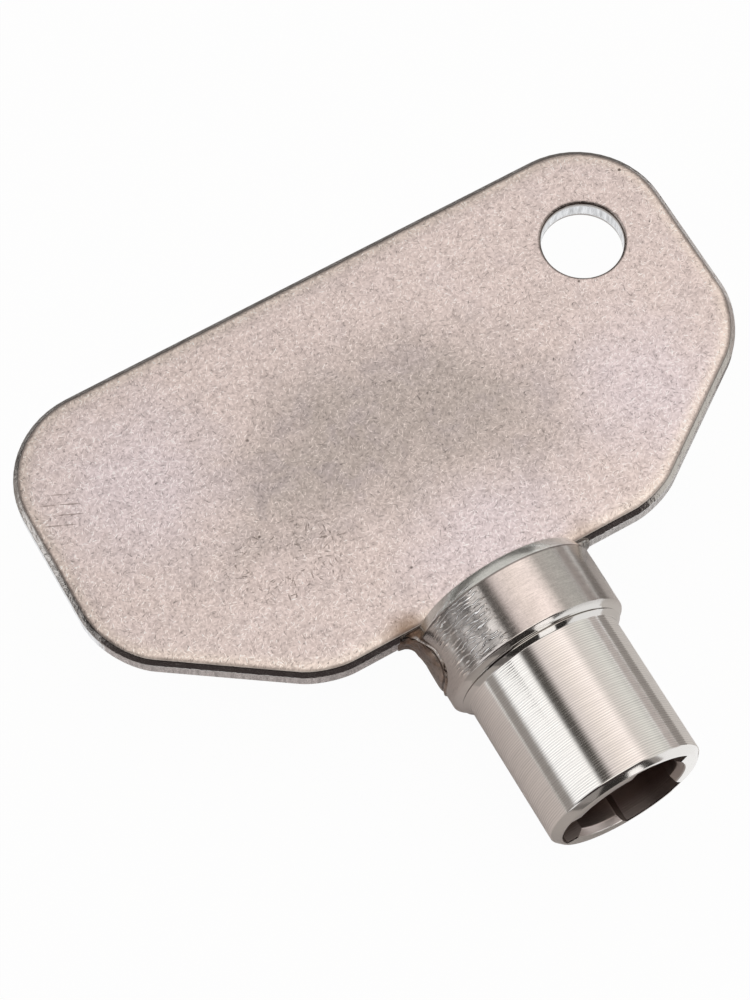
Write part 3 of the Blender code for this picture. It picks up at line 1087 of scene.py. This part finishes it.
    def execute(self, context):
        bow = context.scene.key_bow
        plate = self.outline(bow)
        self.thicken(bow)
        tidy_mesh()
        object_mode()
        cut_away(plate, self.hole_cutter(bow))
        smooth_shading(plate, self.SMOOTH_ANGLE)
        finish_piece(plate, "bow_plate_fine", "bow_plate", tumbled_steel(bow))
        return {"FINISHED"}


class KEY_OT_barrel(bpy.types.Operator):
    """Model the turned barrel with its collar, its shoulder, its slot and its fluted socket."""

    bl_idname = "key.barrel"
    bl_label = "Barrel"

    TURNED_STEPS = 192
    FLUTE_STEPS = 192
    EDGE_STEPS = 3
    FLUTE_END_LAND = 0.0002
    # Where the fine line lies on the shoulder, and the radii of the turned edges
    LINE_SHARE = 0.47
    LINE_ROUND = 0.00001
    FINE_ROUND = 0.00005
    MOUTH_ROUND = 0.00006
    EDGE_ROUND = 0.00008
    REAR_ROUND = 0.00012
    SMOOTH_ANGLE = math.radians(28.0)

    def turn(self, barrel):
        """Draw half of the barrel's section, bore included, round its edges and spin it."""
        tube = barrel.tube_diameter / 2
        collar = barrel.tube_length + barrel.shoulder_rise
        length = FOOT - MOUTH
        ridge = tube + (COLLAR_RADIUS - tube) * self.LINE_SHARE
        line = barrel.shoulder_line
        ridge_height = barrel.tube_length + (barrel.shoulder_rise - 2 * line) * self.LINE_SHARE
        section = [
            (0.0, barrel.socket_depth + barrel.drill_point, 0.0),
            (barrel.lug_radius, barrel.socket_depth, 0.0),
            (barrel.lug_radius, barrel.lug_lead, self.MOUTH_ROUND),
            (barrel.lug_radius + barrel.lug_lead, 0.0, self.FINE_ROUND),
            (tube - barrel.mouth_chamfer, 0.0, self.MOUTH_ROUND),
            (tube, barrel.mouth_chamfer, self.EDGE_ROUND),
            (tube, barrel.tube_length, self.FINE_ROUND),
            (ridge, ridge_height, self.LINE_ROUND),
            (ridge - line, ridge_height + line, 0.0),
            (ridge, ridge_height + 2 * line, self.LINE_ROUND),
            (COLLAR_RADIUS, collar, self.EDGE_ROUND),
            (COLLAR_RADIUS, length - barrel.collar_chamfer, self.REAR_ROUND),
            (COLLAR_RADIUS - barrel.collar_taper, length + barrel.collar_lap, self.REAR_ROUND),
            (0.0, length + barrel.collar_lap, 0.0),
        ]
        piece = draw_wire([(radius, MOUTH + height, AXIS) for radius, height, rounding in section])
        for radius, height, rounding in section:
            if not rounding:
                continue
            pick("verts", lambda v: math.hypot(v.co.x - radius, v.co.y - MOUTH - height) < NEAR)
            bevel_points(rounding, self.EDGE_STEPS)
        spin_solid((0.0, 0.0, AXIS), (0.0, 1.0, 0.0), self.TURNED_STEPS)
        object_mode()
        return piece

    def flute_cutter(self, barrel, angle):
        """A slab of a round bar, on one side of the barrel's axis."""
        depth = barrel.socket_depth - self.FLUTE_END_LAND + CUT_MARGIN
        begin()
        bpy.ops.mesh.primitive_cylinder_add(
            vertices=self.FLUTE_STEPS, radius=barrel.flute_radius, depth=depth,
            location=(0.0, MOUTH - CUT_MARGIN + depth / 2, AXIS), rotation=(math.pi / 2, 0.0, 0.0),
        )
        cutter = bpy.context.object
        apply_place()
        edit_mode()
        outwards = Vector((math.cos(angle), 0.0, math.sin(angle)))
        across = Vector((-math.sin(angle), 0.0, math.cos(angle)))
        middle = Vector((0.0, MOUTH, AXIS))
        half_width = barrel.flute_width / 2
        for away, normal in ((0.0, -outwards), (half_width, across), (half_width, -across)):
            cut_off(middle + away * normal, normal, clear_outer=True, use_fill=True)
        tidy_mesh()
        object_mode()
        return cutter

    def slot_cutter(self, barrel, bow):
        """The saw cut for the tang."""
        low = FOOT - bow.tang_length - barrel.slot_gap
        begin()
        bpy.ops.mesh.primitive_cube_add(size=1.0, location=(0.0, (low + FOOT + CUT_MARGIN) / 2, AXIS))
        cutter = bpy.context.object
        cutter.scale = (
            2 * (COLLAR_RADIUS + CUT_MARGIN), FOOT + CUT_MARGIN - low, PLATE_THICKNESS + 2 * barrel.slot_gap,
        )
        apply_place()
        return cutter

    def execute(self, context):
        barrel = context.scene.key_barrel
        piece = self.turn(barrel)
        for index in range(barrel.flute_count):
            cut_away(piece, self.flute_cutter(barrel, math.pi + math.tau * index / barrel.flute_count))
        cut_away(piece, self.slot_cutter(barrel, context.scene.key_bow))
        smooth_shading(piece, self.SMOOTH_ANGLE)
        finish_piece(piece, "barrel_fine", "barrel", turned_steel(barrel))
        return {"FINISHED"}


class KEY_OT_welds(bpy.types.Operator):
    """Model the two tongues of weld metal on the collar's flanks."""

    bl_idname = "key.welds"
    bl_label = "Welds"

    ROWS = 72
    COLUMNS = 96
    SMOOTH_ANGLE = math.radians(40.0)
    # Places of the bead and the groove, from 0 in the weld's middle to 1 at its rim, and how far each reaches
    BEAD_PLACE = 0.76
    GROOVE_PLACE = 0.48
    LINE_REACH = 0.13
    # Lumps and the pit, with heights and depths as shares of the crown; the pit's place is along and across
    LUMP_SIZE = 0.0009
    LUMP_SHARE = 0.5
    PIT_PLACE = (0.01545, 0.0007)
    PIT_RADIUS = 0.00028
    PIT_DEPTH = 2.2
    PIT_RIM = 0.7
    PIT_RIM_PLACE = 1.6
    PIT_RIM_SHARPNESS = 4
    # The weld beside the bow: reach and growth of its bead, margin past the plate, rounding of its end
    TOP_REACH = 0.0018
    TOP_BEAD = 2.6
    NECK_MARGIN = 0.00022
    TOP_ROUND = 0.0004
    # Powers that make the fillet, the rim and the grid's edges fall off late
    FILLET_FALL = 12
    EDGE_FALL = 6
    RIM_CURVE = 4

    def half_width(self, weld, height):
        """Half the tongue's width at a height: rounded lower corners, drawn in towards the bow's foot."""
        straight = weld.width / 2 - weld.corner
        below = max(0.0, weld.tip + weld.corner - height)
        full = straight + math.sqrt(max(0.0, weld.corner ** 2 - below ** 2))
        below_top = FOOT - MOUTH - height
        share = max(0.0, min(1.0, below_top / weld.neck))
        over = max(0.0, -below_top / weld.overlap)
        neck = PLATE_THICKNESS / 2 + self.NECK_MARGIN - self.TOP_ROUND * over ** 2
        return neck + (full - neck) * share ** 2 * (3 - 2 * share)

    def line(self, rim, place):
        """A line along the weld's rim: 1 in its middle, 0 beside it."""
        return math.exp(-((rim - place) / self.LINE_REACH) ** 2)

    def pit(self, height, across):
        """How far a point is from the pit's middle, in its radii."""
        return math.hypot(height - self.PIT_PLACE[0], across - self.PIT_PLACE[1]) / self.PIT_RADIUS

    def skin(self, weld, barrel, leg, crown, height, across, rim, share):
        """How far the weld's skin lies from the barrel's middle plane."""
        below_top = FOOT - MOUTH - height
        rise = max(0.0, leg - below_top)
        fillet = (1 - share ** self.FILLET_FALL) * (leg - math.sqrt(max(0.0, leg ** 2 - rise ** 2)))
        slope = barrel.collar_taper / (barrel.collar_chamfer + barrel.collar_lap)
        radius = COLLAR_RADIUS - max(0.0, barrel.collar_chamfer - below_top) * slope * share ** self.EDGE_FALL
        radius += crown * (1 - rim ** 2) - weld.sink * rim ** self.EDGE_FALL
        bead = weld.bead * (1 + self.TOP_BEAD * max(0.0, 1 - below_top / self.TOP_REACH))
        lines = bead * self.line(rim, self.BEAD_PLACE) - weld.groove * self.line(rim, self.GROOVE_PLACE)
        radius += lines * crown / weld.proud
        uneven = noise.noise(Vector((height, across, leg)) / self.LUMP_SIZE)
        lump = self.LUMP_SHARE * crown * (1 - rim) * uneven
        pit = self.pit(height, across)
        pit_rim = math.exp(-self.PIT_RIM_SHARPNESS * (pit - self.PIT_RIM_PLACE) ** 2)
        dent = crown * (self.PIT_DEPTH * math.exp(-pit ** 2) - self.PIT_RIM * pit_rim)
        return math.sqrt(radius ** 2 - across ** 2) + fillet + lump - dent

    def tongue(self, weld, barrel, side, leg, crown):
        """A grid laid on the flank, shaped row by row, then given its depth."""
        begin()
        bpy.ops.mesh.primitive_grid_add(x_subdivisions=self.COLUMNS, y_subdivisions=self.ROWS, size=2.0)
        piece = bpy.context.object
        top = FOOT - MOUTH + weld.overlap
        marks = []
        for point in piece.data.vertices:
            climb = math.sin(math.pi / 2 * (point.co.y + 1) / 2) ** 2
            height = weld.tip + (top - weld.tip) * climb
            share = math.sin(math.pi / 2 * point.co.x)
            across = self.half_width(weld, height) * share
            below = max(0.0, 1 - (height - weld.tip) / weld.corner)
            rim = min(1.0, math.hypot(share ** self.RIM_CURVE, below ** 2))
            hollow = math.exp(-self.pit(height, across) ** 2)
            # The first mark is where painted shade falls, in the groove and the pit; the second is the bead's
            # crest, where a painted highlight lies.
            marks.append((max(self.line(rim, self.GROOVE_PLACE), hollow), self.line(rim, self.BEAD_PLACE)))
            skin = self.skin(weld, barrel, leg, crown, height, across, rim, abs(share))
            point.co = (side * skin, MOUTH + height, AXIS + across)
        for name, values in zip(WELD_MARKS, zip(*marks)):
            piece.data.attributes.new(name, "FLOAT", "POINT").data.foreach_set("value", values)
        edit_mode()
        bpy.ops.mesh.extrude_region_move(TRANSFORM_OT_translate={"value": (-side * weld.wall, 0.0, 0.0)})
        tidy_mesh()
        object_mode()
        bpy.ops.object.shade_smooth_by_angle(angle=self.SMOOTH_ANGLE)
        return piece

    def execute(self, context):
        weld = context.scene.key_weld
        finish = weld_steel(weld)
        flanks = (("left", -1, weld.leg_left, weld.proud), ("right", 1, weld.leg_right, weld.flush))
        for name, side, leg, crown in flanks:
            piece = self.tongue(weld, context.scene.key_barrel, side, leg, crown)
            finish_piece(piece, f"weld_{name}_fine", f"weld_fillet_{name}", finish)
        return {"FINISHED"}


class KEY_OT_stage(bpy.types.Operator):
    """Set the camera, the pale floor, the cards that the metal reflects and the soft studio light."""

    bl_idname = "key.stage"
    bl_label = "Stage"

    CLIP_START = 0.005
    FULL_TURN = 360.0
    LEVEL = 1.2
    # Where straight up lies on the sky's ramp
    STRAIGHT_UP = 0.5
    PALE = (0.79, 0.79, 0.79)
    # The sky's colours round the barrel, by their angle from straight up in degrees, to the left below 0
    SKY = (
        (-180.0, PALE),
        (-94.0, PALE),
        (-88.0, (0.16, 0.15, 0.15)),
        (-80.0, (0.16, 0.15, 0.15)),
        (-75.0, (0.94, 0.94, 0.94)),
        (-34.0, (0.98, 0.97, 0.96)),
        (-29.0, (0.05, 0.045, 0.04)),
        (-19.0, (0.05, 0.045, 0.04)),
        (-10.0, (0.66, 0.60, 0.58)),
        (8.0, (0.82, 0.745, 0.70)),
        (30.0, (0.98, 0.89, 0.85)),
        (42.0, (0.62, 0.58, 0.55)),
        (66.0, (0.66, 0.655, 0.62)),
        (86.0, (0.45, 0.44, 0.42)),
        (94.0, PALE),
        (180.0, PALE),
    )
    # The sky's front and back: their colours, and the bands of direction in which each comes
    FRONT_BOX = (1.0, 0.96, 0.91)
    FRONT_GAP = (0.04, 0.032, 0.032)
    BACK = (0.47, 0.45, 0.435)
    BACK_BAND = (0.4, 0.65)
    FRONT_BAND = (0.17, -0.02)
    FRONT_SIDE_BAND = (0.62, 0.45)
    FRONT_BOX_BAND = (0.76, 0.86)
    HORIZON_BAND = (0.165, 0.21)
    # The cards: height of those that lie on the floor, colours and turns
    CARD_HEIGHT = 0.0001
    BLACK = (0.035, 0.032, 0.03)
    DARK = (0.22, 0.21, 0.205)
    DIM = (0.44, 0.42, 0.41)
    MILD = (0.62, 0.59, 0.575)
    GREY = (0.86, 0.805, 0.79)
    WHITE = (0.97, 0.965, 0.96)
    LYING = (0.0, 0.0, 0.0)
    FACING_BACK = (math.pi / 2, 0.0, 0.0)
    FACING_SIDE = (0.0, math.pi / 2, 0.0)
    # Each card's name, middle, size, turn and colour, and its glow where it has one
    CARDS = (
        ("card_left", (-0.04, -0.007, CARD_HEIGHT), (0.08, 0.025), LYING, GREY),
        ("card_right", (0.011, -0.007, CARD_HEIGHT), (0.022, 0.025), LYING, WHITE),
        ("card_far_right", (0.052, -0.006, CARD_HEIGHT), (0.06, 0.027), LYING, DIM),
        ("card_back", (0.0, 0.0505, CARD_HEIGHT), (0.12, 0.059), LYING, DARK),
        ("card_front", (0.019, -0.089, 0.0175), (0.018, 0.035), FACING_BACK, WHITE, 0.6),
        ("flag_front_far", (-0.051, -0.09, 0.0175), (0.052, 0.035), FACING_BACK, DIM),
        ("flag_front_left", (-0.0075, -0.09, 0.0175), (0.035, 0.035), FACING_BACK, BLACK),
        ("flag_front_middle", (0.0355, -0.09, 0.0175), (0.015, 0.035), FACING_BACK, BLACK),
        ("flag_front_right", (0.0505, -0.09, 0.0175), (0.015, 0.035), FACING_BACK, DIM),
        ("flag_floor_near", (-0.038, -0.03275, CARD_HEIGHT), (0.084, 0.0265), LYING, MILD),
        ("flag_floor_far", (-0.034, -0.0675, CARD_HEIGHT), (0.092, 0.043), LYING, DARK),
        ("flag_left_near", (-0.045, 0.01365, 0.032), (0.036, 0.0113), FACING_SIDE, BLACK),
        ("flag_left", (-0.09, 0.03, 0.0125), (0.025, 0.16), FACING_SIDE, DIM),
        ("flag_right", (0.09, 0.03, 0.0125), (0.025, 0.16), FACING_SIDE, GREY),
        ("flag_back", (0.0, 0.11, 0.02), (0.18, 0.04), FACING_BACK, DARK),
    )

    def camera(self, stage):
        """The camera at the photograph's place."""
        data = bpy.data.cameras.new("key_camera")
        data.lens = stage.lens
        data.clip_start = self.CLIP_START
        camera = bpy.data.objects.new("key_camera", data)
        bpy.context.scene.collection.objects.link(camera)
        camera.location = stage.camera_place
        camera.rotation_euler = stage.camera_turn
        bpy.context.scene.camera = camera

    def floor(self, stage):
        """A pale floor that keeps a soft shadow."""
        begin()
        bpy.ops.mesh.primitive_plane_add(size=stage.floor_size)
        floor = bpy.context.object
        floor.name = "floor"
        material = bpy.data.materials.new("floor_paper")
        material.use_nodes = True
        tree = material.node_tree
        tree.nodes.remove(tree.nodes["Principled BSDF"])
        start = Field(tree)
        paper = start.node("ShaderNodeBsdfDiffuse", None, {"Color": opaque(stage.floor_color)})
        white = start.node("ShaderNodeEmission", None, {"Color": (1.0, 1.0, 1.0, 1.0), "Strength": 1.0})
        seen = start.node("ShaderNodeLightPath", None, None, output="Is Camera Ray")
        path = seen.socket.node.outputs
        for kind in ("Is Glossy Ray", "Is Transmission Ray"):
            seen = seen.math("MAXIMUM", Field(tree, path[kind]))
        shown = start.node("ShaderNodeMixShader", None, {0: seen * stage.floor_glow, 1: paper, 2: white})
        tree.links.new(shown.socket, tree.nodes["Material Output"].inputs["Surface"])
        floor.data.materials.append(material)

    def card(self, name, place, size, turn, color, glow=0.0):
        """A card beside the key that only its reflections show."""
        begin()
        bpy.ops.mesh.primitive_plane_add(size=1.0, location=place, rotation=turn)
        card = bpy.context.object
        card.name = name
        card.scale = (*size, 1.0)
        apply_place()
        material = bpy.data.materials.new(name)
        material.use_nodes = True
        paper = material.node_tree.nodes["Principled BSDF"]
        paper.inputs["Base Color"].default_value = opaque(color)
        paper.inputs["Roughness"].default_value = 1.0
        paper.inputs["Emission Color"].default_value = opaque(color)
        paper.inputs["Emission Strength"].default_value = glow
        card.data.materials.append(material)
        card.visible_camera = False
        card.visible_shadow = False
        card.visible_diffuse = False

    def sky(self):
        """Soft boxes and dark gaps that run along the barrel, pale towards the horizon."""
        world = bpy.data.worlds.new("studio")
        world.use_nodes = True
        bpy.context.scene.world = world
        tree = world.node_tree
        start = Field(tree)
        direction = start.node("ShaderNodeTexCoord", None, None, output="Generated")
        x, y, z = apart(start, direction)
        share = x.math("ARCTAN2", z) / math.tau + self.STRAIGHT_UP
        stops = [(angle / self.FULL_TURN + self.STRAIGHT_UP, color) for angle, color in self.SKY]
        color = start.node("ShaderNodeValToRGB", {"stops": stops}, {"Fac": share})
        color = y.step(*self.BACK_BAND).mixed(color, self.BACK)
        front = y.step(*self.FRONT_BAND) * x.step(*self.FRONT_SIDE_BAND)
        box = z.step(*self.FRONT_BOX_BAND)
        gap = z.step(*reversed(self.FRONT_BOX_BAND))
        color = (front * box).mixed(color, self.FRONT_BOX)
        color = (front * gap).mixed(color, self.FRONT_GAP)
        color = z.step(*self.HORIZON_BAND).mixed(self.PALE, color)
        background = tree.nodes["Background"]
        background.inputs["Strength"].default_value = self.LEVEL
        tree.links.new(color.socket, background.inputs["Color"])

    def execute(self, context):
        stage = context.scene.key_stage
        self.camera(stage)
        self.floor(stage)
        for card in self.CARDS:
            self.card(*card)
        self.sky()
        context.scene.view_settings.view_transform = "Standard"
        return {"FINISHED"}


class KEY_PT_panel(bpy.types.Panel):
    """Lists the stage and the key's pieces in the order in which they are made, and then their settings."""

    bl_label = "Key"
    bl_idname = "KEY_PT_panel"
    bl_space_type = "VIEW_3D"
    bl_region_type = "UI"
    bl_category = "Key"

    def draw(self, context):
        for operator in OPERATORS:
            self.layout.operator(operator.bl_idname)
        for group in SETTINGS:
            settings = getattr(context.scene, group)
            for name in settings.__annotations__:
                self.layout.prop(settings, name)


SETTINGS = {
    "key_bow": KeyBowSettings,
    "key_barrel": KeyBarrelSettings,
    "key_weld": KeyWeldSettings,
    "key_stage": KeyStageSettings,
}
OPERATORS = (KEY_OT_stage, KEY_OT_bow_plate, KEY_OT_barrel, KEY_OT_welds)


def register():
    """Make the settings, the operators and the panel known to Blender."""
    for group, settings in SETTINGS.items():
        bpy.utils.register_class(settings)
        setattr(bpy.types.Scene, group, PointerProperty(type=settings))
    for operator in OPERATORS:
        bpy.utils.register_class(operator)
    bpy.utils.register_class(KEY_PT_panel)


def unregister():
    """Undo what register does, in the opposite order."""
    bpy.utils.unregister_class(KEY_PT_panel)
    for operator in reversed(OPERATORS):
        bpy.utils.unregister_class(operator)
    for group, settings in reversed(SETTINGS.items()):
        delattr(bpy.types.Scene, group)
        bpy.utils.unregister_class(settings)


def main():
    """Make the stage and the key."""
    register()
    bpy.ops.key.stage()
    bpy.ops.key.bow_plate()
    bpy.ops.key.barrel()
    bpy.ops.key.welds()


if __name__ == "__main__":
    main()
